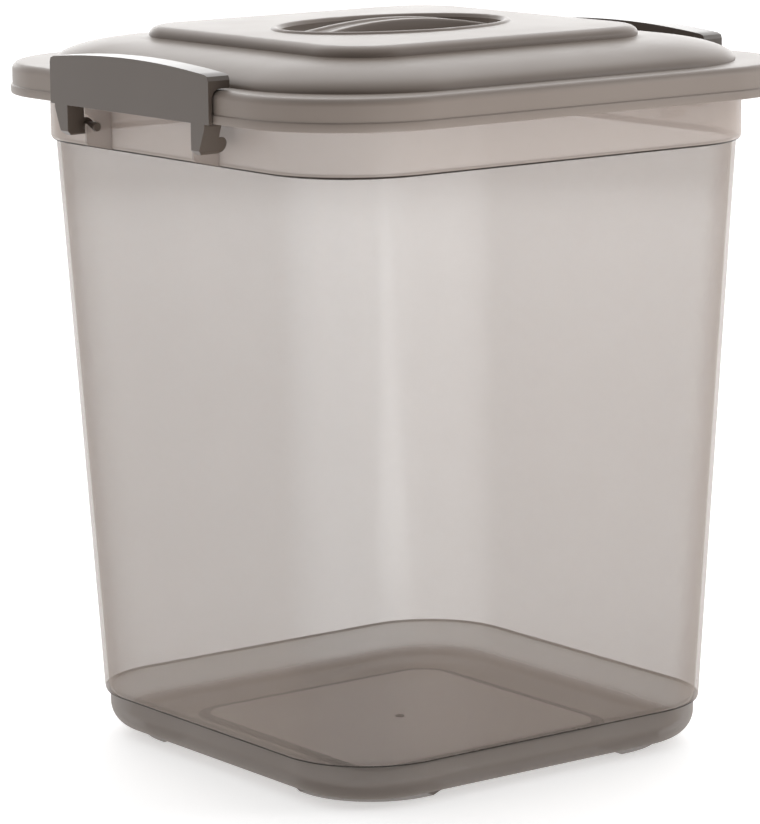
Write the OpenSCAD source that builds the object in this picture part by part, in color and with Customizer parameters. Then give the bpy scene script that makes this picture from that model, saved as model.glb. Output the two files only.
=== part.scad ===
// Square food storage bin: a tapered tub with a lift-off lid that two swinging
// latches clip down. Millimetres, +Z up, origin on the ground under the middle
// of the tub. The latches are on the -X (left) and +X (right) sides.

/* [Lid] */
// Width of the lid across its flange
lid_width = 371; // [369:1:373]
// Corner radius of the lid flange
lid_radius = 76; // [72:1:84]
// Height of the lid's ledge above the ground
ledge_height = 413; // [400:1:430]
// Height of the flange, from the ledge down to its lower edge
flange_depth = 18.4; // [17.5:0.1:19]
// Thickness of the lid
lid_wall = 2.2; // [2:0.1:2.4]

/* [Tub] */
// Width of the collar round the top of the tub
collar_width = 329; // [328:0.5:330]
// Height of the collar below the lid
collar_height = 28.4; // [27:0.2:30]
// Width of the tub just under the collar
neck_width = 320; // [317:0.5:321]
// Width of the base under the moulded step
base_width = 286; // [278:1:292]
// Height of the moulded step above the ground
step_height = 27; // [25:0.5:30]
// Thickness of the tub wall
tub_wall = 2.2; // [2:0.1:2.6]
// Height of the feet
foot_height = 3.6; // [3:0.1:4]

/* [Grip] */
// Length of the oval recess in the lid
grip_length = 149; // [140:1:158]
// Width of the oval recess in the lid
grip_width = 104; // [96:1:112]
// Depth of the oval recess
grip_depth = 20; // [18:0.5:21]
// Width of the bar at the middle of the recess
bar_width = 21; // [18:1:26]

/* [Latches] */
// Width of each latch
latch_width = 164; // [158:1:168]
// Spacing of the two hinge ribs on one side of the tub
rib_spacing = 110.8; // [106:0.2:114]
// Radius of the latch pins
pin_radius = 2.6; // [2.3:0.1:2.7]
// Running clearance round the pins
pin_clearance = 0.06; // [0.04:0.01:0.09]

/* [Hidden] */

corner_steps = 10;
ring_points = 4 * (corner_steps + 1);

// Lid
flange_bottom = ledge_height - flange_depth;
ledge_underside = ledge_height - lid_wall;
flange_edge_round = 4.5;
lip_height = 4.5;
lip_reach = 1;
dome_width = lid_width - 36;
dome_radius = lid_radius + 4;
plateau_width = 228;
plateau_radius = 36;
plateau_foot = ledge_height + 13.6;
plateau_top = plateau_foot + 7;
plateau_round = 5;
plateau_slope = 8;
plug_depth = 9;
dome_run = (dome_width - plateau_width) / 2 - 1;
dome_rise = plateau_foot - ledge_height;

// Tub
collar_top = flange_bottom;
collar_bottom = collar_top - collar_height;
collar_radius = 61;
seal_height = 2.4;
rim_top = ledge_underside - seal_height - 0.4;
rim_width = collar_width + 17;
wall_foot_width = base_width + 6;
base_radius = 55;
base_round = 15;
floor_top = 9;
floor_round = 17;
floor_panel_width = 192;
floor_panel_rise = 0.9;
mouth_width = collar_width - 2 * tub_wall;
plug_width = mouth_width - 1.4;
foot_width = 26;
foot_inset = 5;
foot_run = 14;
foot_slope = 9;

// Grip bar
bar_crown = plateau_top + 3.6;
bar_drop = 9;
bar_height = 9;
bar_flare = 10;
bar_half_length = grip_length / 2 + 1;
bar_stations = 12;

// Latches and hinges
pivot_x = lid_width / 2 - 10;
pivot_z = ledge_height - 31.6;
panel_inner = lid_width / 2 + 0.6;
panel_thickness = 2.4;
panel_outer = panel_inner + panel_thickness;
hook_tip = lid_width / 2 - 11.5;
hook_bottom = ledge_height + 1.1;
latch_end_top = ledge_height + 8.6;
latch_arch = 4.2;
panel_bottom = flange_bottom - 0.4;
leg_bottom = pivot_z - 5;
leg_inner = rib_spacing / 2 + 8.5;
leg_outer_top = latch_width / 2 - 4.5;
leg_outer_bottom = latch_width / 2 - 10.5;
boss_radius = 4.8;
rib_thickness = 1.8;
rib_outer = lid_width / 2 - 4;
rib_top = flange_bottom - 0.8;
pin_end = rib_spacing / 2 - 3;

// ------------------------------------------------------------------ shells

// One level of a shell. The corners are quarter-ellipses of rx by ry.
function level(width, depth, rx, ry, height) = [width, depth, rx, ry, height];
function square_level(width, radius, height) = level(width, width, radius, radius, height);
function oval_level(width, depth, height) = level(width, depth, width / 2, depth / 2, height);

// Point k of a level, counted round from the +X side.
function level_point(ring, k) =
    let (quarter = floor(k / (corner_steps + 1)),
         angle = 90 * quarter + 90 * (k % (corner_steps + 1)) / corner_steps,
         side_x = (quarter == 0 || quarter == 3) ? 1 : -1,
         side_y = quarter < 2 ? 1 : -1)
    [side_x * (ring[0] / 2 - ring[2]) + ring[2] * cos(angle),
     side_y * (ring[1] / 2 - ring[3]) + ring[3] * sin(angle),
     ring[4]];

// Levels around a quarter-round on a square shell. At angle 0 the level is
// reach wider on each side than width, and at 90 it is rise higher than height.
function round_levels(width, radius, height, reach, rise, from, to, steps) =
    [for (i = [0 : steps])
        let (angle = from + (to - from) * i / steps)
        square_level(width + 2 * reach * cos(angle), radius + reach * cos(angle),
                     height + rise * sin(angle))];

// Solid between the levels of a list, which runs from the middle of its top
// face outwards, down, and back in to the middle of its underside. A list that
// starts and ends on the same side is a ring, with its last level joined to
// its first.
module shell(levels, ring = false) {
    rows = len(levels);
    points = [for (one = levels) for (k = [0 : ring_points - 1]) level_point(one, k)];
    skin = [for (i = [0 : rows - (ring ? 1 : 2)]) for (k = [0 : ring_points - 1])
        let (j = (i + 1) % rows, n = (k + 1) % ring_points)
        [i * ring_points + k, i * ring_points + n, j * ring_points + n, j * ring_points + k]];
    caps = ring ? [] :
        [[for (k = [ring_points - 1 : -1 : 0]) k],
         [for (k = [0 : ring_points - 1]) (rows - 1) * ring_points + k]];
    polyhedron(points = points, faces = concat(skin, caps));
}

// --------------------------------------------------------------------- tub

module tub() {
    color([0.75, 0.72, 0.69]) {
        tub_shell();
        for (turn = [0 : 3])
            rotate([0, 0, 90 * turn])
                foot();
    }
}

// The floor, wall, collar and rim, from the middle of the floor outwards, up
// the inside, over the rim and down the outside.
module tub_shell() {
    inside = concat(
        [square_level(floor_panel_width - 2, 24, floor_top + floor_panel_rise),
         square_level(floor_panel_width, 25, floor_top)],
        round_levels(base_width - 5.4 - 2 * floor_round, base_radius - 2.7 - floor_round,
                     floor_top + floor_round, floor_round, floor_round, 270, 360, 5),
        [square_level(wall_foot_width - 2 * tub_wall, base_radius + 1, step_height + 3),
         square_level(neck_width - 2 * tub_wall, collar_radius - 10, collar_bottom - 0.5),
         square_level(mouth_width - 1, collar_radius - 3.5, collar_bottom + 2.6),
         square_level(mouth_width, collar_radius - 2.2, collar_bottom + 4),
         square_level(mouth_width, collar_radius - 2.2, rim_top - 0.6),
         square_level(mouth_width + 1.2, collar_radius - 1.6, rim_top)]);
    outside = concat(
        [square_level(rim_width - 1.2, collar_radius + 8, rim_top),
         square_level(rim_width, collar_radius + 8.6, rim_top - 0.6),
         square_level(rim_width, collar_radius + 8.6, rim_top - 2.6),
         square_level(collar_width + 3, collar_radius + 1.5, rim_top - 3.6),
         square_level(collar_width, collar_radius, rim_top - 5.5)],
        round_levels(collar_width - 6, collar_radius - 3, collar_bottom + 3, 3, 3, 0, -90, 4),
        [square_level(neck_width, collar_radius - 8, collar_bottom - 0.2),
         square_level(wall_foot_width, base_radius + 2.5, step_height + 2),
         square_level(wall_foot_width - 1.2, base_radius + 1.9, step_height),
         square_level(base_width, base_radius, step_height)],
        round_levels(base_width - 2 * base_round, base_radius - base_round,
                     foot_height + base_round, base_round, base_round, 0, -90, 6));
    shell(concat(inside, outside));
}

// Square block with one round corner, the one that faces +X and +Y.
module corner_block(radius, bottom, height) {
    translate([0, 0, bottom])
        linear_extrude(height)
            hull() {
                circle(r = radius, $fn = 96);
                translate([-foot_run - 1, -foot_run - 1])
                    square([foot_run, foot_run + radius]);
                translate([-foot_run - 1, -foot_run - 1])
                    square([foot_run + radius, foot_run]);
            }
}

// One foot, a bent pad under the corner that faces +X and +Y, with sloping ends.
module foot() {
    foot_radius = base_radius - base_round - foot_inset + 16;
    centre = base_width / 2 - base_round - foot_inset + 4 - foot_radius;
    foot_top = foot_height + 0.6;
    reach = foot_run + foot_radius + 1;
    translate([centre, centre, 0])
        intersection() {
            difference() {
                hull() {
                    corner_block(foot_radius - 0.5, 0, 0.1);
                    corner_block(foot_radius, 0.5, foot_top - 0.5);
                }
                translate([-1, -1, 0])
                    corner_block(foot_radius - foot_width / 2, -1, foot_top + 2);
            }
            hull() {
                translate([-foot_run, -foot_run, foot_top - 0.1])
                    cube([reach, reach, 0.1]);
                translate([foot_slope - foot_run, foot_slope - foot_run, 0])
                    cube([reach, reach, 0.1]);
            }
        }
}

// ------------------------------------------------------------- hinge ribs

// Side view of one rib on the +X side, with the slot the pin snaps in through.
module rib_profile() {
    root = collar_width / 2 - 1;
    difference() {
        polygon([[root, collar_bottom + 0.6], [rib_outer - 1, collar_bottom + 4.5],
                 [rib_outer, collar_bottom + 6], [rib_outer, rib_top], [root, rib_top]]);
        snap_slot();
    }
}

// Slanting mouth from the pin's seat to the outer edge of the rib.
module snap_slot() {
    slot_width = 1.7 * pin_radius;
    translate([pivot_x, pivot_z])
        rotate(40)
            translate([0.5 * pin_radius, -slot_width / 2])
                square([14, slot_width]);
}

module hinge_ribs() {
    for (side = [-1, 1])
        difference() {
            translate([0, side * rib_spacing / 2 + rib_thickness / 2, 0])
                rotate([90, 0, 0])
                    linear_extrude(rib_thickness)
                        rib_profile();
            translate([pivot_x, side * rib_spacing / 2, pivot_z])
                rotate([90, 0, 0])
                    cylinder(r = pin_radius + pin_clearance, h = 3 * rib_thickness,
                             center = true, $fn = 64);
        }
}

module right_hinge_ribs() {
    color([0.7, 0.67, 0.64]) hinge_ribs();
}

module left_hinge_ribs() {
    color([0.7, 0.67, 0.64]) rotate([0, 0, 180]) hinge_ribs();
}

// --------------------------------------------------------------------- lid

// Levels of the dome between the plateau and the ledge, lowered by drop.
function dome_levels(drop, from, to, steps) =
    [for (i = [0 : steps])
        let (angle = from + (to - from) * i / steps,
             out = dome_run * sin(angle))
        square_level(plateau_width + 2 + 2 * out,
                     plateau_radius + 1 + (dome_radius - plateau_radius - 1) * sin(angle),
                     ledge_height + dome_rise * cos(angle) - drop)];

// Levels down the wall of the oval recess. inset narrows them, drop lowers them.
function bowl_levels(inset, drop, steps) =
    [for (i = [0 : steps])
        let (angle = 90 * i / steps,
             narrowing = 2 * (inset + 13 * (1 - sin(angle))))
        oval_level(grip_length - narrowing, grip_width - narrowing,
                   plateau_top - drop - (grip_depth - 1) * cos(angle))];

module lid() {
    top = concat(
        [oval_level(grip_length - 60, grip_width - 60, plateau_top - grip_depth)],
        bowl_levels(1, 1, 6),
        [oval_level(grip_length, grip_width, plateau_top + 0.8),
         oval_level(grip_length + 3, grip_width + 3, plateau_top + 1.3),
         oval_level(grip_length + 6, grip_width + 6, plateau_top + 0.8),
         oval_level(grip_length + 8, grip_width + 8, plateau_top)],
        round_levels(plateau_width - 2 * plateau_slope, plateau_radius - plateau_slope,
                     plateau_top - plateau_round, plateau_slope, plateau_round, 90, 0, 5),
        [square_level(plateau_width, plateau_radius, plateau_foot + 1)],
        dome_levels(0, 4, 84, 10),
        [square_level(dome_width, dome_radius, ledge_height)],
        round_levels(lid_width - 2 * (flange_edge_round + lip_reach),
                     lid_radius - flange_edge_round - lip_reach,
                     ledge_height - flange_edge_round, flange_edge_round, flange_edge_round,
                     90, 0, 5),
        [square_level(lid_width - 2 * lip_reach, lid_radius - lip_reach,
                      flange_bottom + lip_height + 1),
         square_level(lid_width, lid_radius, flange_bottom + lip_height),
         square_level(lid_width, lid_radius, flange_bottom + 0.6),
         square_level(lid_width - 1.2, lid_radius - 0.6, flange_bottom)]);
    underside = concat(
        [square_level(lid_width - 2 * lid_wall, lid_radius - lid_wall, flange_bottom),
         square_level(lid_width - 2 * lid_wall - 2, lid_radius - lid_wall - 1,
                      ledge_underside - 4),
         square_level(lid_width - 2 * lid_wall - 10, lid_radius - lid_wall - 5,
                      ledge_underside),
         square_level(plug_width, collar_radius - 3, ledge_underside),
         square_level(plug_width, collar_radius - 3, ledge_underside - plug_depth),
         square_level(plug_width - 3.6, collar_radius - 4.8, ledge_underside - plug_depth),
         square_level(plug_width - 4.4, collar_radius - 5.2, ledge_underside + 1)],
        dome_levels(lid_wall, 55, 4, 6),
        [square_level(plateau_width - 2 * lid_wall, plateau_radius - lid_wall,
                      plateau_foot - 1),
         square_level(plateau_width - 2 * lid_wall, plateau_radius - lid_wall,
                      plateau_top - lid_wall - 3),
         square_level(plateau_width - 2 * lid_wall - 6, plateau_radius - lid_wall - 3,
                      plateau_top - lid_wall),
         oval_level(grip_length + 4, grip_width + 4, plateau_top - lid_wall)],
        [for (i = [6 : -1 : 0]) bowl_levels(1 - lid_wall, 1 + lid_wall, 6)[i]],
        [oval_level(grip_length - 60, grip_width - 60, plateau_top - grip_depth - lid_wall)]);
    color([0.68, 0.65, 0.63])
        shell(concat(top, underside));
}

// Section of the grip bar at a distance x along it, with a groove on its top.
function bar_section(x) =
    let (reach = x / bar_half_length,
         half = bar_width / 2 + bar_flare * pow(abs(reach), 3) / 2,
         top = bar_crown - bar_drop * reach * reach,
         bottom = top - bar_height)
    [[x, -half, bottom], [x, -half, top - 1.2], [x, -half + 1.2, top], [x, -half * 0.5, top],
     [x, -half * 0.4, top - 1], [x, half * 0.4, top - 1], [x, half * 0.5, top],
     [x, half - 1.2, top], [x, half, top - 1.2], [x, half, bottom]];

module grip_bar() {
    corners = 10;
    points = [for (i = [-bar_stations : bar_stations])
        each bar_section(bar_half_length * i / bar_stations)];
    last = 2 * bar_stations * corners;
    skin = [for (i = [0 : 2 * bar_stations - 1]) for (k = [0 : corners - 1])
        let (n = (k + 1) % corners)
        [i * corners + k, i * corners + n, (i + 1) * corners + n, (i + 1) * corners + k]];
    ends = [[for (k = [corners - 1 : -1 : 0]) k], [for (k = [0 : corners - 1]) last + k]];
    color([0.66, 0.63, 0.61])
        polyhedron(points = points, faces = concat(skin, ends));
}

// Soft ring between the tub's rim and the lid.
module lid_seal() {
    outer = mouth_width + 13;
    inner = mouth_width + 2.4;
    bottom = rim_top + 0.35;
    top = ledge_underside - 0.05;
    color([0.45, 0.43, 0.42])
        shell([square_level(inner, collar_radius - 1, top),
               square_level(outer, collar_radius + 4.3, top),
               square_level(outer, collar_radius + 4.3, bottom + 0.5),
               square_level(outer - 1, collar_radius + 3.8, bottom),
               square_level(inner, collar_radius - 1, bottom)], ring = true);
}

// ----------------------------------------------------------------- latches

// Front view of a latch, as y and z: an arched panel on two tapering legs.
function arch_points(steps) =
    [for (i = [0 : steps])
        let (y = (latch_width / 2 - 4) * (1 - 2 * i / steps))
        [y, latch_end_top + latch_arch * (1 - pow(2 * y / latch_width, 2))]];

module latch_front() {
    half = latch_width / 2;
    for (side = [-1, 1])
        scale([side, 1])
            polygon([[leg_inner, panel_bottom + 1], [leg_inner, leg_bottom + 1],
                     [leg_inner + 1, leg_bottom], [leg_outer_bottom - 1.5, leg_bottom],
                     [leg_outer_bottom, leg_bottom + 1.5], [leg_outer_top, panel_bottom - 2],
                     [leg_outer_top, panel_bottom + 1]]);
    polygon(concat([[-half, panel_bottom + 0.6], [-half + 0.6, panel_bottom],
                    [half - 0.6, panel_bottom], [half, panel_bottom + 0.6],
                    [half, latch_end_top - 3], [half - 1, latch_end_top - 0.6]],
                   arch_points(24),
                   [[-half + 1, latch_end_top - 0.6], [-half, latch_end_top - 3]]));
}

// Side view of the panel and its hook, as x and z.
module panel_profile() {
    top = latch_end_top + latch_arch + 1;
    polygon([[panel_inner, panel_bottom], [panel_outer, panel_bottom], [panel_outer, top],
             [hook_tip, top], [hook_tip, hook_bottom + 1.2], [hook_tip + 0.6, hook_bottom],
             [panel_inner - 4.5, hook_bottom], [panel_inner - 1.4, hook_bottom - 1.6],
             [panel_inner, hook_bottom - 5]]);
}

// Side view of a leg, as x and z: a block under the flange and a round boss.
module leg_profile() {
    block_top = panel_bottom - 0.6;
    block_inner = pivot_x + 1.6;
    polygon([[block_inner, pivot_z], [panel_outer, pivot_z], [panel_outer, panel_bottom + 1],
             [panel_inner, panel_bottom + 1], [panel_inner, block_top],
             [block_inner, block_top]]);
    polygon([[pivot_x, leg_bottom + 0.2], [panel_outer - 2.5, leg_bottom],
             [panel_outer, leg_bottom + 2.5], [panel_outer, pivot_z + 1],
             [pivot_x, pivot_z + 1]]);
    translate([pivot_x, pivot_z])
        circle(r = boss_radius, $fn = 48);
}

module along_y(from, to) {
    translate([0, to, 0])
        rotate([90, 0, 0])
            linear_extrude(to - from)
                children();
}

module latch() {
    intersection() {
        union() {
            along_y(-latch_width / 2, latch_width / 2) panel_profile();
            along_y(leg_inner, latch_width / 2) leg_profile();
            along_y(-latch_width / 2, -leg_inner) leg_profile();
        }
        translate([pivot_x - 8, 0, 0])
            rotate([90, 0, 90])
                linear_extrude(panel_outer - pivot_x + 9)
                    latch_front();
    }
    for (side = [-1, 1])
        translate([pivot_x, side * (pin_end + leg_inner + 2) / 2, pivot_z])
            rotate([90, 0, 0])
                cylinder(r = pin_radius, h = leg_inner + 2 - pin_end, center = true, $fn = 64);
}

module right_latch() {
    color([0.4, 0.38, 0.36]) latch();
}

module left_latch() {
    color([0.4, 0.38, 0.36]) rotate([0, 0, 180]) latch();
}

tub();
left_hinge_ribs();
right_hinge_ribs();
lid();
grip_bar();
lid_seal();
left_latch();
right_latch();
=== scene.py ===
# Looks for the square food storage bin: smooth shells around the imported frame,
# moulded plastic materials, a pale floor, soft light and the camera.
import math

import bmesh
import bpy
from mathutils import Matrix, Vector


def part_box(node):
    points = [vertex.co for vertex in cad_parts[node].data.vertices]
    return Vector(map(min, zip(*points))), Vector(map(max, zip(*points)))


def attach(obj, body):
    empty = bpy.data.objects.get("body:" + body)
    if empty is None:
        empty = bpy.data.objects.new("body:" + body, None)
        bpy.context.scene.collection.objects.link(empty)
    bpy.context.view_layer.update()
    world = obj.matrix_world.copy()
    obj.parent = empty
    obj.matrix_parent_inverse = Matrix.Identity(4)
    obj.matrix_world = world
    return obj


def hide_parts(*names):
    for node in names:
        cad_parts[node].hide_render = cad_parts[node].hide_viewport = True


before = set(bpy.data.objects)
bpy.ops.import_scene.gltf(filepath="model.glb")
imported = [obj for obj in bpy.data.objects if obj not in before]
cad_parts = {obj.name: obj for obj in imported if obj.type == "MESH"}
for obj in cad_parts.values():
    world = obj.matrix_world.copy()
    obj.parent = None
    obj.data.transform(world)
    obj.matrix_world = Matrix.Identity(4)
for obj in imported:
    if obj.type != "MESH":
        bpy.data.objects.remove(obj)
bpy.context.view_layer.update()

MM = 0.001
CORNER_STEPS = 20

# ---------------------------------------------------------------- sizes
# Each is taken from the frame's boxes, or is a wall or a rounding of the real
# mouldings, in metres.

lid_low, lid_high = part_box("lid")
tub_low, tub_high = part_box("tub")
bar_low, bar_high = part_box("grip_bar")

LID_WIDTH = lid_high.x - lid_low.x
LID_WALL = 2.2 * MM
LID_RADIUS = 76 * MM
EDGE_ROUND = 4.5 * MM
LIP_HEIGHT = 4.5 * MM
LIP_REACH = 1 * MM
PLUG_DEPTH = 9 * MM
GRIP_BEAD = 1.3 * MM
BEAD_REACH = 1.6 * GRIP_BEAD
BEAD_FOOT = 4.5 * MM
PLATEAU_TOP = lid_high.z - GRIP_BEAD
PLATEAU_FOOT = PLATEAU_TOP - 7 * MM
LEDGE = PLATEAU_FOOT - 13.6 * MM
LEDGE_UNDER = LEDGE - LID_WALL
FLANGE_BOTTOM = LEDGE - 18.4 * MM
DOME_WIDTH = LID_WIDTH - 36 * MM
DOME_RADIUS = LID_RADIUS + 4 * MM
PLATEAU_WIDTH = 228 * MM
PLATEAU_RADIUS = 36 * MM
PLATEAU_ROUND = 5 * MM
PLATEAU_SLOPE = 8 * MM
PLATEAU_CREASE = 0.9 * MM
UNDER_ROUND = 3 * MM
DOME_GAP = 1 * MM
DOME_RUN = (DOME_WIDTH - PLATEAU_WIDTH) / 2 - DOME_GAP
DOME_RISE = PLATEAU_FOOT - LEDGE

BAR_HALF = (bar_high.x - bar_low.x) / 2
BAR_WIDTH = 21 * MM
BAR_FLARE = 10 * MM
BAR_DROP = 9 * MM
BAR_HEIGHT = 9 * MM
BAR_CROWN = bar_high.z
BAR_SHOULDER = 1.4 * MM
BAR_EDGE = 0.5 * MM
GRIP_LENGTH = 2 * BAR_HALF - 2 * MM
GRIP_WIDTH = GRIP_LENGTH - 45 * MM
GRIP_DEPTH = 20 * MM
BOWL_EDGE = 1 * MM
BOWL_ROUND = 13 * MM
BOWL_RISE = GRIP_DEPTH - BOWL_EDGE
BOWL_FLAT = 30 * MM

RIM_TOP = tub_high.z
RIM_WIDTH = tub_high.x - tub_low.x
RIM_BEVEL = 0.6 * MM
COLLAR_WIDTH = RIM_WIDTH - 17 * MM
COLLAR_RADIUS = 61 * MM
COLLAR_ROUND = 3 * MM
COLLAR_BOTTOM = FLANGE_BOTTOM - 28.4 * MM
RIM_RADIUS = COLLAR_RADIUS + 8.6 * MM
NECK_WIDTH = COLLAR_WIDTH - 9 * MM
NECK_RADIUS = COLLAR_RADIUS - 8 * MM
TUB_WALL = 2.2 * MM
MOUTH_WIDTH = COLLAR_WIDTH - 2 * TUB_WALL
MOUTH_RADIUS = COLLAR_RADIUS - TUB_WALL
PLUG_WIDTH = MOUTH_WIDTH - 1.4 * MM
PLUG_RADIUS = COLLAR_RADIUS - 3 * MM
BASE_WIDTH = COLLAR_WIDTH - 43 * MM
BASE_RADIUS = 55 * MM
BASE_ROUND = 15 * MM
BASE_WALL = 2.7 * MM
WALL_FOOT_WIDTH = BASE_WIDTH + 6 * MM
WALL_FOOT_RADIUS = BASE_RADIUS + 2.5 * MM
STEP = 27 * MM
STEP_LINE = 0.9 * MM
FOOT_HEIGHT = 3.6 * MM
FOOT_WIDTH = 13 * MM
FOOT_RADIUS = BASE_RADIUS - BASE_ROUND + 11 * MM
FOOT_INSET = BASE_ROUND + 1 * MM
FOOT_EDGE = 0.5 * MM
FOOT_ROOT = 0.4 * MM
FOOT_RUN = 14 * MM
FOOT_SLOPE = 9 * MM
FLOOR_TOP = 9 * MM
FLOOR_ROUND = 17 * MM
PANEL_WIDTH = 192 * MM
PANEL_RADIUS = 25 * MM
PANEL_RISE = 0.9 * MM
PANEL_TOP = FLOOR_TOP + PANEL_RISE


# ---------------------------------------------------------------- shells
# A level of a shell is a rounded rectangle: its width, its depth, the radii of
# its corners along X and along Y, and its height.

def angles(start, end, steps):
    """Even steps from one angle to another, given in degrees and made in radians."""
    return [math.radians(start + (end - start) * i / steps) for i in range(steps + 1)]


def square(width, radius, height):
    return (width, width, radius, radius, height)


def inset(width, radius, distance, height):
    """A square level that is set in by the same distance all round."""
    return square(width - 2 * distance, radius - distance, height)


def rounding(width, radius, height, reach, start, end, steps, rise=None):
    """Levels round the edge of a square, from one angle to another. The edge's centre
    is at height, and it is reach wide and rise high, or as high as it is wide."""
    rise = rise or reach
    return [inset(width, radius, reach * (1 - math.cos(angle)), height + rise * math.sin(angle))
            for angle in angles(start, end, steps)]


def level_points(level):
    width, depth, rx, ry, height = level
    points = []
    for quarter, (sx, sy) in enumerate(((1, 1), (-1, 1), (-1, -1), (1, -1))):
        for angle in angles(90 * quarter, 90 * quarter + 90, CORNER_STEPS):
            points.append((sx * (width / 2 - rx) + rx * math.cos(angle),
                           sy * (depth / 2 - ry) + ry * math.sin(angle), height))
    return points


def add_mesh(name, mesh, crease=32):
    """An object with the mesh, smooth but for edges sharper than crease in degrees."""
    data = bpy.data.meshes.new(name)
    mesh.to_mesh(data)
    mesh.free()
    data.polygons.foreach_set("use_smooth", [True] * len(data.polygons))
    data.set_sharp_from_angle(angle=math.radians(crease))
    made = bpy.data.objects.new(name, data)
    bpy.context.scene.collection.objects.link(made)
    return made


def add_skin(name, *solids):
    """An object of closed solids. Each is skinned through its rows of points and
    capped at the first and last row."""
    mesh = bmesh.new()
    for solid in solids:
        rows = [[mesh.verts.new(point) for point in row] for row in solid]
        for one, other in zip(rows, rows[1:]):
            for k in range(len(one)):
                n = (k + 1) % len(one)
                mesh.faces.new((other[k], other[n], one[n], one[k]))
        mesh.faces.new(rows[0])
        mesh.faces.new(rows[-1][::-1])
    bmesh.ops.recalc_face_normals(mesh, faces=mesh.faces)
    return add_mesh(name, mesh)


def add_shell(name, levels):
    """A thin shell through levels that go from the middle of one side, round the edge
    and back to the middle of the other side."""
    return add_skin(name, [level_points(level) for level in levels])


# ---------------------------------------------------------------- tub

def tub_inside():
    """Levels from the middle of the floor up to the mouth."""
    levels = [
        square(PANEL_WIDTH - 15 * MM, 18 * MM, PANEL_TOP),
        inset(PANEL_WIDTH, PANEL_RADIUS, 4 * MM, PANEL_TOP),
        inset(PANEL_WIDTH, PANEL_RADIUS, 3.5 * MM, FLOOR_TOP + PANEL_RISE * 0.9),
        square(PANEL_WIDTH, PANEL_RADIUS, FLOOR_TOP)]
    levels += rounding(BASE_WIDTH - 2 * BASE_WALL, BASE_RADIUS - BASE_WALL,
                       FLOOR_TOP + FLOOR_ROUND, FLOOR_ROUND, 270, 360, 12)
    levels += [
        square(WALL_FOOT_WIDTH - 2 * TUB_WALL, BASE_RADIUS + 1 * MM, STEP + 3 * MM),
        square(NECK_WIDTH - 2 * TUB_WALL, NECK_RADIUS - 2 * MM, COLLAR_BOTTOM - 0.5 * MM),
        square(MOUTH_WIDTH - 1 * MM, COLLAR_RADIUS - 3.5 * MM, COLLAR_BOTTOM + 2.6 * MM),
        square(MOUTH_WIDTH, MOUTH_RADIUS, COLLAR_BOTTOM + 4 * MM),
        square(MOUTH_WIDTH, MOUTH_RADIUS, RIM_TOP - RIM_BEVEL),
        inset(MOUTH_WIDTH, MOUTH_RADIUS, -RIM_BEVEL, RIM_TOP)]
    return levels


def tub_outside():
    """Levels from the rim down the collar and the wall, and under the base."""
    levels = [
        inset(RIM_WIDTH, RIM_RADIUS, RIM_BEVEL, RIM_TOP),
        square(RIM_WIDTH, RIM_RADIUS, RIM_TOP - RIM_BEVEL),
        square(RIM_WIDTH, RIM_RADIUS, RIM_TOP - 2.6 * MM),
        inset(COLLAR_WIDTH, COLLAR_RADIUS, -1.5 * MM, RIM_TOP - 3.6 * MM),
        square(COLLAR_WIDTH, COLLAR_RADIUS, RIM_TOP - 5.5 * MM)]
    levels += rounding(COLLAR_WIDTH, COLLAR_RADIUS, COLLAR_BOTTOM + COLLAR_ROUND,
                       COLLAR_ROUND, 0, -90, 8)
    levels += [
        square(NECK_WIDTH, NECK_RADIUS, COLLAR_BOTTOM - 0.2 * MM),
        square(WALL_FOOT_WIDTH, WALL_FOOT_RADIUS, STEP + 2 * MM),
        inset(WALL_FOOT_WIDTH, WALL_FOOT_RADIUS, 0.2 * MM, STEP + STEP_LINE),
        inset(WALL_FOOT_WIDTH, WALL_FOOT_RADIUS, 0.6 * MM, STEP),
        square(BASE_WIDTH, BASE_RADIUS, STEP)]
    levels += rounding(BASE_WIDTH, BASE_RADIUS, FOOT_HEIGHT + BASE_ROUND, BASE_ROUND,
                       0, -90, 12)
    return levels


def foot_profile(depth):
    """Radius and height round a foot's section. At depth 1 it stands on the ground,
    and at depth 0 it ends in the base."""
    inner = FOOT_RADIUS - FOOT_WIDTH
    low = FOOT_HEIGHT * (1 - depth)
    top = FOOT_HEIGHT + FOOT_ROOT
    return ((inner, top), (inner, low), (FOOT_RADIUS - FOOT_EDGE, low),
            (FOOT_RADIUS, low + FOOT_EDGE * depth), (FOOT_RADIUS, top))


def foot_rows(spin):
    """Rows of points along one foot, bent round a corner of the base. Its ends slope."""
    centre = Vector((1, 1, 0)) * (BASE_WIDTH / 2 - FOOT_INSET - FOOT_RADIUS)
    along_x, along_y = Vector((1, 0, 0)), Vector((0, 1, 0))
    flat = FOOT_RUN - FOOT_SLOPE
    path = [(centre - along_y * FOOT_RUN, along_x, 0), (centre - along_y * flat, along_x, 1)]
    path += [(centre, Vector((math.cos(angle), math.sin(angle), 0)), 1)
             for angle in angles(0, 90, 24)]
    path += [(centre - along_x * flat, along_y, 1), (centre - along_x * FOOT_RUN, along_y, 0)]
    return [[spin @ (middle + ray * radius + Vector((0, 0, height)))
             for radius, height in foot_profile(depth)]
            for middle, ray, depth in path]


def add_feet():
    """The four feet, one under each corner."""
    turns = [Matrix.Rotation(math.radians(90 * corner), 3, "Z") for corner in range(4)]
    return add_skin("tub_feet", *[foot_rows(turn) for turn in turns])


def add_gate_mark():
    """The small pip and ring that the mould's gate leaves in the middle of the floor,
    from a profile of radius and height in millimetres."""
    profile = ((0.7, 0.5), (1.0, 0.1), (2.2, 0.1), (2.6, 0.45), (3.0, 0.1), (3.2, -0.3))
    around = angles(0, 360, 32)[:-1]
    return add_skin("gate_mark", [
        [(r * MM * math.cos(angle), r * MM * math.sin(angle), PANEL_TOP + z * MM)
         for angle in around] for r, z in profile])


# ---------------------------------------------------------------- lid

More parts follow.
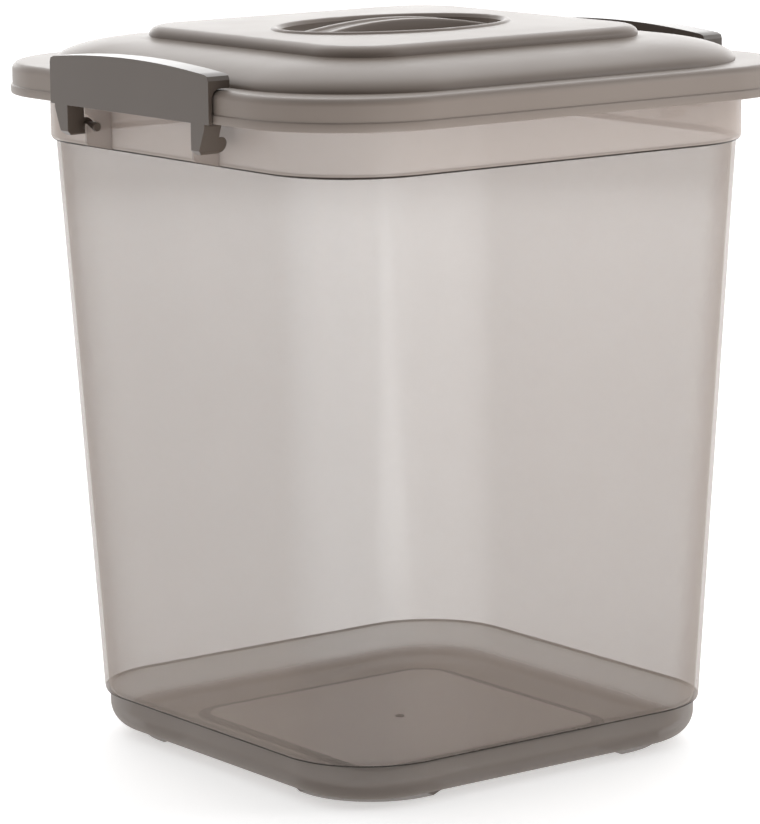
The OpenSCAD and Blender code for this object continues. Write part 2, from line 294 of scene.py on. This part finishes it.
def recess(distance, height):
    """A level like the oval recess, larger than it by a distance all round."""
    width = GRIP_LENGTH + 2 * distance
    depth = GRIP_WIDTH + 2 * distance
    return (width, depth, width / 2, depth / 2, height)


def bowl(distance, top, steps):
    """Levels up the recess's rounded side, from its floor to its edge."""
    return [recess(distance - BOWL_ROUND * (1 - math.sin(angle)),
                   top - BOWL_RISE * math.cos(angle))
            for angle in angles(0, 90, steps)]


def dome(drop, start, end, steps):
    """Levels down the dome between two angles, lowered by drop for its underside."""
    top_width = PLATEAU_WIDTH + 2 * DOME_GAP
    top_radius = PLATEAU_RADIUS + DOME_GAP
    return [square(top_width + 2 * DOME_RUN * math.sin(angle),
                   top_radius + (DOME_RADIUS - top_radius) * math.sin(angle),
                   LEDGE + DOME_RISE * math.cos(angle) - drop)
            for angle in angles(start, end, steps)]


def lid_top():
    """Levels from the recess's floor over the bead, the plateau and the dome to the
    rounded edge of the ledge."""
    levels = [recess(-BOWL_FLAT, PLATEAU_TOP - GRIP_DEPTH)]
    levels += bowl(-BOWL_EDGE, PLATEAU_TOP - BOWL_EDGE, 14)
    levels += [recess(BEAD_REACH * (1 - math.cos(angle)),
                      PLATEAU_TOP + GRIP_BEAD * math.sin(angle))
               for angle in angles(20, 160, 7)]
    levels += [recess(BEAD_FOOT, PLATEAU_TOP)]
    levels += rounding(PLATEAU_WIDTH, PLATEAU_RADIUS, PLATEAU_TOP - PLATEAU_ROUND,
                       PLATEAU_SLOPE, 90, 0, 10, rise=PLATEAU_ROUND)
    levels += [square(PLATEAU_WIDTH, PLATEAU_RADIUS, PLATEAU_FOOT + PLATEAU_CREASE)]
    levels += dome(0, 3, 86, 28)
    levels += [square(DOME_WIDTH, DOME_RADIUS, LEDGE)]
    levels += rounding(LID_WIDTH - 2 * LIP_REACH, LID_RADIUS - LIP_REACH,
                       LEDGE - EDGE_ROUND, EDGE_ROUND, 90, 0, 10)
    return levels


def lid_flange():
    """Levels down the flange and round the lip at its foot."""
    lip_top = FLANGE_BOTTOM + LIP_HEIGHT
    return [
        inset(LID_WIDTH, LID_RADIUS, LIP_REACH, lip_top + 1 * MM),
        inset(LID_WIDTH, LID_RADIUS, 0.2 * MM, lip_top + 0.3 * MM),
        square(LID_WIDTH, LID_RADIUS, lip_top - 0.4 * MM),
        square(LID_WIDTH, LID_RADIUS, FLANGE_BOTTOM + 0.9 * MM),
        inset(LID_WIDTH, LID_RADIUS, 0.2 * MM, FLANGE_BOTTOM + 0.2 * MM),
        inset(LID_WIDTH, LID_RADIUS, 0.7 * MM, FLANGE_BOTTOM)]


def lid_under():
    """Levels up inside the flange, round the plug, and back under the dome, the
    plateau and the recess to the middle."""
    plug_bottom = LEDGE_UNDER - PLUG_DEPTH
    levels = [
        inset(LID_WIDTH, LID_RADIUS, LID_WALL, FLANGE_BOTTOM),
        inset(LID_WIDTH, LID_RADIUS, LID_WALL + 1 * MM, LEDGE_UNDER - 4 * MM),
        inset(LID_WIDTH, LID_RADIUS, LID_WALL + 5 * MM, LEDGE_UNDER),
        square(PLUG_WIDTH, PLUG_RADIUS, LEDGE_UNDER),
        square(PLUG_WIDTH, PLUG_RADIUS, plug_bottom + 0.6 * MM),
        inset(PLUG_WIDTH, PLUG_RADIUS, 0.6 * MM, plug_bottom),
        inset(PLUG_WIDTH, PLUG_RADIUS, 1.4 * MM, plug_bottom),
        inset(PLUG_WIDTH, PLUG_RADIUS, 1.9 * MM, plug_bottom + 0.6 * MM),
        inset(PLUG_WIDTH, PLUG_RADIUS, LID_WALL, LEDGE_UNDER + 1 * MM)]
    levels += dome(LID_WALL, 55, 4, 12)
    levels += [inset(PLATEAU_WIDTH, PLATEAU_RADIUS, LID_WALL, PLATEAU_FOOT - 1 * MM)]
    levels += rounding(PLATEAU_WIDTH - 2 * LID_WALL, PLATEAU_RADIUS - LID_WALL,
                       PLATEAU_TOP - LID_WALL - UNDER_ROUND, UNDER_ROUND, 0, 90, 5)
    levels += [recess(2 * MM, PLATEAU_TOP - LID_WALL)]
    levels += bowl(LID_WALL - BOWL_EDGE, PLATEAU_TOP - BOWL_EDGE - LID_WALL, 10)[::-1]
    levels += [recess(-BOWL_FLAT, PLATEAU_TOP - GRIP_DEPTH - LID_WALL)]
    return levels


def bar_section(x):
    """Section of the grip bar at x, with rounded shoulders and a groove on top."""
    reach = x / BAR_HALF
    half = BAR_WIDTH / 2 + BAR_FLARE * abs(reach) ** 3 / 2
    top = BAR_CROWN - BAR_DROP * reach * reach
    bottom = top - BAR_HEIGHT
    right = [(half - BAR_EDGE, bottom), (half, bottom + BAR_EDGE), (half, top - BAR_SHOULDER)]
    right += [(half - BAR_SHOULDER * (1 - math.cos(angle)),
               top - BAR_SHOULDER * (1 - math.sin(angle))) for angle in angles(30, 90, 2)]
    right += [(half * 0.58, top), (half * 0.52, top - 0.3 * MM), (half * 0.46, top - 1 * MM),
              (half * 0.4, top - 1.2 * MM)]
    left = [(-y, z) for y, z in reversed(right)]
    return [(x, y, z) for y, z in right + left]


def add_bar():
    """The arched bar across the recess."""
    stations = 36
    return add_skin("grip_bar_skin", [bar_section(BAR_HALF * i / stations)
                                      for i in range(-stations, stations + 1)])


def soft_copy(node, name, width):
    """A copy of a CAD node with its flat faces joined up and its edges rounded."""
    mesh = bmesh.new()
    mesh.from_mesh(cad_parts[node].data)
    bmesh.ops.remove_doubles(mesh, verts=mesh.verts, dist=1e-6)
    bmesh.ops.dissolve_limit(mesh, angle_limit=math.radians(0.3), verts=mesh.verts,
                             edges=mesh.edges)
    made = add_mesh(name, mesh, crease=25)
    bevel = made.modifiers.new("edges", "BEVEL")
    bevel.width = width
    bevel.segments = 3
    bevel.limit_method = "ANGLE"
    bevel.angle_limit = math.radians(28)
    bevel.harden_normals = True
    return made


# ---------------------------------------------------------------- materials
# Noise scales are in waves per metre. A grain is its scale and its depth.

FLOW_SCALE = 9.0
FLOW_STRETCH = (1, 1, 0.35)
GLOSS_SCALE = 40.0
GRAIN_STRENGTH = 0.06
TUB_GRAIN = (220.0, 0.01 * MM)
RIB_GRAIN = (300.0, 0.01 * MM)
LID_GRAIN = (260.0, 0.01 * MM)
LATCH_GRAIN = (500.0, 0.02 * MM)
SEAL_GRAIN = (300.0, 0.03 * MM)


def new_material(name):
    made = bpy.data.materials.new(name)
    made.use_nodes = True
    nodes = made.node_tree.nodes
    return made, nodes, made.node_tree.links, nodes["Principled BSDF"]


def noise(nodes, links, scale, detail=3.0, stretch=(1, 1, 1)):
    where = nodes.new("ShaderNodeTexCoord")
    mapping = nodes.new("ShaderNodeMapping")
    mapping.inputs["Scale"].default_value = stretch
    made = nodes.new("ShaderNodeTexNoise")
    made.inputs["Scale"].default_value = scale
    made.inputs["Detail"].default_value = detail
    links.new(where.outputs["Object"], mapping.inputs["Vector"])
    links.new(mapping.outputs["Vector"], made.inputs["Vector"])
    return made.outputs["Fac"]


def ramp(nodes, links, source, stops):
    """A colour ramp between two stops, each a position and a colour."""
    made = nodes.new("ShaderNodeValToRGB")
    for element, (position, colour) in zip(made.color_ramp.elements, stops):
        element.position = position
        element.color = (*colour, 1)
    links.new(source, made.inputs["Fac"])
    return made.outputs["Color"]


def spread(nodes, links, source, low, high):
    """Spreads a source of 0 to 1 between two values."""
    made = nodes.new("ShaderNodeMapRange")
    made.inputs["To Min"].default_value = low
    made.inputs["To Max"].default_value = high
    links.new(source, made.inputs["Value"])
    return made.outputs["Result"]


def bump(nodes, links, source, strength, distance, shader):
    made = nodes.new("ShaderNodeBump")
    made.inputs["Strength"].default_value = strength
    made.inputs["Distance"].default_value = distance
    links.new(source, made.inputs["Height"])
    links.new(made.outputs["Normal"], shader.inputs["Normal"])


def plastic(name, dark, light, rough, grain, alpha=None, specular=0.5):
    """Moulded plastic: faint flow mottling, a fine surface grain and uneven gloss. alpha
    is how much a see-through wall hides face on and edge on, where there is more of it."""
    made, nodes, links, shader = new_material(name)
    grain_scale, grain_depth = grain
    mottle = noise(nodes, links, FLOW_SCALE, stretch=FLOW_STRETCH)
    links.new(ramp(nodes, links, mottle, ((0.3, dark), (0.7, light))),
              shader.inputs["Base Color"])
    links.new(spread(nodes, links, noise(nodes, links, GLOSS_SCALE), *rough),
              shader.inputs["Roughness"])
    bump(nodes, links, noise(nodes, links, grain_scale, detail=2.0), GRAIN_STRENGTH,
         grain_depth, shader)
    shader.inputs["Specular IOR Level"].default_value = specular
    if alpha:
        weight = nodes.new("ShaderNodeLayerWeight")
        steep = nodes.new("ShaderNodeMath")
        steep.operation = "POWER"
        steep.inputs[1].default_value = 2.0
        links.new(weight.outputs["Facing"], steep.inputs[0])
        links.new(spread(nodes, links, steep.outputs["Value"], *alpha),
                  shader.inputs["Alpha"])
        links.new(spread(nodes, links, weight.outputs["Facing"], specular, 0),
                  shader.inputs["Specular IOR Level"])
    return made


def fade_up(material, low, high, colour, alpha):
    """Fades a material to another colour and opacity between two heights."""
    nodes, links = material.node_tree.nodes, material.node_tree.links
    shader = nodes["Principled BSDF"]
    where = nodes.new("ShaderNodeTexCoord")
    split = nodes.new("ShaderNodeSeparateXYZ")
    links.new(where.outputs["Object"], split.inputs["Vector"])
    height = nodes.new("ShaderNodeMapRange")
    height.interpolation_type = "SMOOTHSTEP"
    height.inputs["From Min"].default_value = low
    height.inputs["From Max"].default_value = high
    links.new(split.outputs["Z"], height.inputs["Value"])
    blend = nodes.new("ShaderNodeMix")
    blend.data_type = "RGBA"
    blend.inputs["B"].default_value = (*colour, 1)
    links.new(height.outputs["Result"], blend.inputs["Factor"])
    links.new(shader.inputs["Base Color"].links[0].from_socket, blend.inputs["A"])
    links.new(blend.outputs["Result"], shader.inputs["Base Color"])
    thin = nodes.new("ShaderNodeMix")
    thin.inputs["B"].default_value = alpha
    links.new(height.outputs["Result"], thin.inputs["Factor"])
    links.new(shader.inputs["Alpha"].links[0].from_socket, thin.inputs["A"])
    links.new(thin.outputs["Result"], shader.inputs["Alpha"])


tub_wall = plastic("tub_wall", (0.31, 0.24, 0.195), (0.33, 0.258, 0.212), (0.2, 0.24),
                   TUB_GRAIN, alpha=(0.265, 0.74), specular=0.6)
tub_collar = plastic("tub_collar", (0.48, 0.402, 0.355), (0.5, 0.422, 0.374), (0.24, 0.28),
                     TUB_GRAIN, alpha=(0.52, 0.95))
# Opaque near-black painted shade: dark lines where the collar's lower edge, the step and the
# floor panel's outline would fall into shade.
tub_painted_shade = plastic("tub_painted_shade", (0.02, 0.015, 0.012), (0.03, 0.023, 0.019), (0.3, 0.4),
                   TUB_GRAIN, alpha=(0.9, 0.97), specular=0.2)
# The base and the feet are darker and denser than the wall: painted shade for the bin's shadow
# on the ground, seen through the plastic.
tub_base_painted_shade = plastic("tub_base_painted_shade", (0.19, 0.156, 0.133), (0.21, 0.175, 0.151), (0.3, 0.4),
                   TUB_GRAIN, alpha=(0.68, 0.95))
# The floor and the foot of the inner wall are darker with painted shade for the shadow under
# the bin; the fade below makes the wall lighter and clearer towards the step.
tub_floor_painted_shade = plastic("tub_floor_painted_shade", (0.24, 0.202, 0.177), (0.27, 0.23, 0.203), (0.35, 0.45),
                    TUB_GRAIN, alpha=(0.85, 0.95))
fade_up(tub_floor_painted_shade, FLOOR_TOP + 0.5 * MM, STEP - 11 * MM, (0.5, 0.42, 0.37), 0.15)
rib_plastic = plastic("rib_grey", (0.36, 0.3, 0.264), (0.38, 0.32, 0.283), (0.3, 0.4),
                      RIB_GRAIN, alpha=(0.5, 0.85))
lid_plastic = plastic("lid_silver", (0.225, 0.184, 0.157), (0.245, 0.203, 0.175), (0.36, 0.42),
                      LID_GRAIN, specular=0.35)
latch_plastic = plastic("latch_dark", (0.08, 0.06, 0.047), (0.09, 0.069, 0.055), (0.26, 0.32),
                        LATCH_GRAIN)
seal_rubber = plastic("seal_soft", (0.2, 0.19, 0.18), (0.24, 0.23, 0.22), (0.6, 0.7),
                      SEAL_GRAIN)


def paint(piece, *materials):
    piece.data.materials.clear()
    for one in materials:
        piece.data.materials.append(one)


# ---------------------------------------------------------------- pieces

# Material slots of the tub skin; the fourth is the near-black line of painted shade.
WALL, BASE, COLLAR, SHADE_LINE, FLOOR = range(5)


def tub_part(face):
    """Which of the tub's materials a face of its skin has. The near-black lines of painted
    shade are the floor panel's outline, the step above the base and the collar's lower edge."""
    x, y, height = face.center
    inside = x * face.normal.x + y * face.normal.y < 0
    on_panel = max(abs(x), abs(y)) < PANEL_WIDTH / 2
    on_outline = on_panel and height >= FLOOR_TOP and len(face.vertices) == 4
    on_step = abs(height - STEP) < 0.5 * MM
    on_collar_edge = -0.4 * MM < height - COLLAR_BOTTOM < 1.2 * MM
    # These faces get the near-black lines of painted shade.
    if on_outline or on_step or on_collar_edge:
        return SHADE_LINE
    if FLOOR_TOP <= height < STEP and (inside or on_panel):
        return FLOOR
    if height < STEP:
        return BASE
    return COLLAR if height > COLLAR_BOTTOM else WALL


tub_skin = add_shell("tub_skin", tub_inside() + tub_outside())
paint(tub_skin, tub_wall, tub_base_painted_shade, tub_collar, tub_painted_shade, tub_floor_painted_shade)
for face in tub_skin.data.polygons:
    face.material_index = tub_part(face)
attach(tub_skin, "tub")
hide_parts("tub")

# The gate pip is painted with the same near-black painted shade.
gate = add_gate_mark()
paint(gate, tub_painted_shade)
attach(gate, "tub")

# The feet carry the base's painted shade.
feet = add_feet()
paint(feet, tub_base_painted_shade)
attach(feet, "tub")

lid_skin = add_shell("lid_skin", lid_top() + lid_flange() + lid_under())
paint(lid_skin, lid_plastic)
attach(lid_skin, "lid")
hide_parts("lid")

bar_skin = add_bar()
paint(bar_skin, lid_plastic)
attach(bar_skin, "lid")
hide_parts("grip_bar")

for side in ("left", "right"):
    clip = soft_copy(side + "_latch", side + "_latch_skin", 0.6 * MM)
    paint(clip, latch_plastic)
    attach(clip, side + "_latch")
    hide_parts(side + "_latch")
    paint(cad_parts[side + "_hinge_ribs"], rib_plastic)
paint(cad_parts["lid_seal"], seal_rubber)


# ---------------------------------------------------------------- studio

def add_floor():
    """A wide pale disc that glows a little, so that it stays even."""
    mesh = bmesh.new()
    bmesh.ops.create_circle(mesh, cap_ends=True, radius=30, segments=96)
    made = add_mesh("studio_floor", mesh)
    material, nodes, links, shader = new_material("studio_floor")
    shader.inputs["Base Color"].default_value = (0.85, 0.85, 0.85, 1)
    shader.inputs["Roughness"].default_value = 0.8
    shader.inputs["Emission Color"].default_value = (1, 1, 1, 1)
    shader.inputs["Emission Strength"].default_value = 0.5
    paint(made, material)


def softbox(name, place, target, size, power):
    data = bpy.data.lights.new(name, "AREA")
    data.shape = "RECTANGLE"
    data.size, data.size_y = size
    data.energy = power
    made = bpy.data.objects.new(name, data)
    made.location = place
    made.rotation_euler = (Vector(target) - Vector(place)).to_track_quat("-Z", "Y").to_euler()
    made.visible_camera = False
    bpy.context.scene.collection.objects.link(made)


def add_sky():
    """A white sky that is dim behind the camera and bright on the far side."""
    world = bpy.data.worlds.new("studio")
    world.use_nodes = True
    bpy.context.scene.world = world
    nodes, links = world.node_tree.nodes, world.node_tree.links
    where = nodes.new("ShaderNodeTexCoord")
    aim = nodes.new("ShaderNodeVectorMath")
    aim.operation = "DOT_PRODUCT"
    aim.inputs[1].default_value = Vector((0.55, 0.75, 0.3)).normalized()
    glow = nodes.new("ShaderNodeMapRange")
    glow.inputs["From Min"].default_value = -0.5
    glow.inputs["From Max"].default_value = 0.9
    glow.inputs["To Min"].default_value = 0.12
    glow.inputs["To Max"].default_value = 1.5
    links.new(where.outputs["Generated"], aim.inputs[0])
    links.new(aim.outputs["Value"], glow.inputs["Value"])
    links.new(glow.outputs["Result"], nodes["Background"].inputs["Strength"])
    nodes["Background"].inputs["Color"].default_value = (1, 1, 1, 1)


def add_camera(place, yaw, pitch, roll):
    """A camera with a long lens, turned by yaw from looking along Y."""
    data = bpy.data.cameras.new("camera")
    data.sensor_width = 36
    data.lens = 177.2
    data.shift_x = 0.01
    data.clip_end = 100
    made = bpy.data.objects.new("camera", data)
    made.matrix_world = (Matrix.Translation(place)
                         @ Matrix.Rotation(-yaw, 4, "Z")
                         @ Matrix.Rotation(math.pi / 2 + pitch, 4, "X")
                         @ Matrix.Rotation(roll, 4, "Z"))
    bpy.context.scene.collection.objects.link(made)
    bpy.context.scene.camera = made


add_floor()

# The camera's side is dim and the far side bright, so that the lid's slopes
# go from a bright top to a darker foot. The glow low in front gives the tub's
# near corner its upright highlight.
middle = Vector((0, 0, lid_high.z / 2))
softbox("top_light", (0.8, 1.2, 1.9), middle, (2.2, 1.0), 5)
softbox("back_light", (1.5, 2.1, 0.8), middle, (3.0, 0.7), 14)
softbox("left_light", (-2.6, 0.5, 1.2), middle, (0.8, 1.8), 1.5)
softbox("right_light", (2.2, -1.9, 1.2), middle, (0.8, 1.8), 18)
softbox("corner_glow", (-0.12, -1.0, 0.01), (-0.12, -1.0, 2.0), (0.28, 1.1), 3.6)
add_sky()

# The camera stands about 2.4 m off, a little above the lid.
add_camera(place=(-1.445, -1.932, 0.641), yaw=0.636, pitch=-0.181, roll=-0.013)
bpy.context.scene.view_settings.view_transform = "Standard"
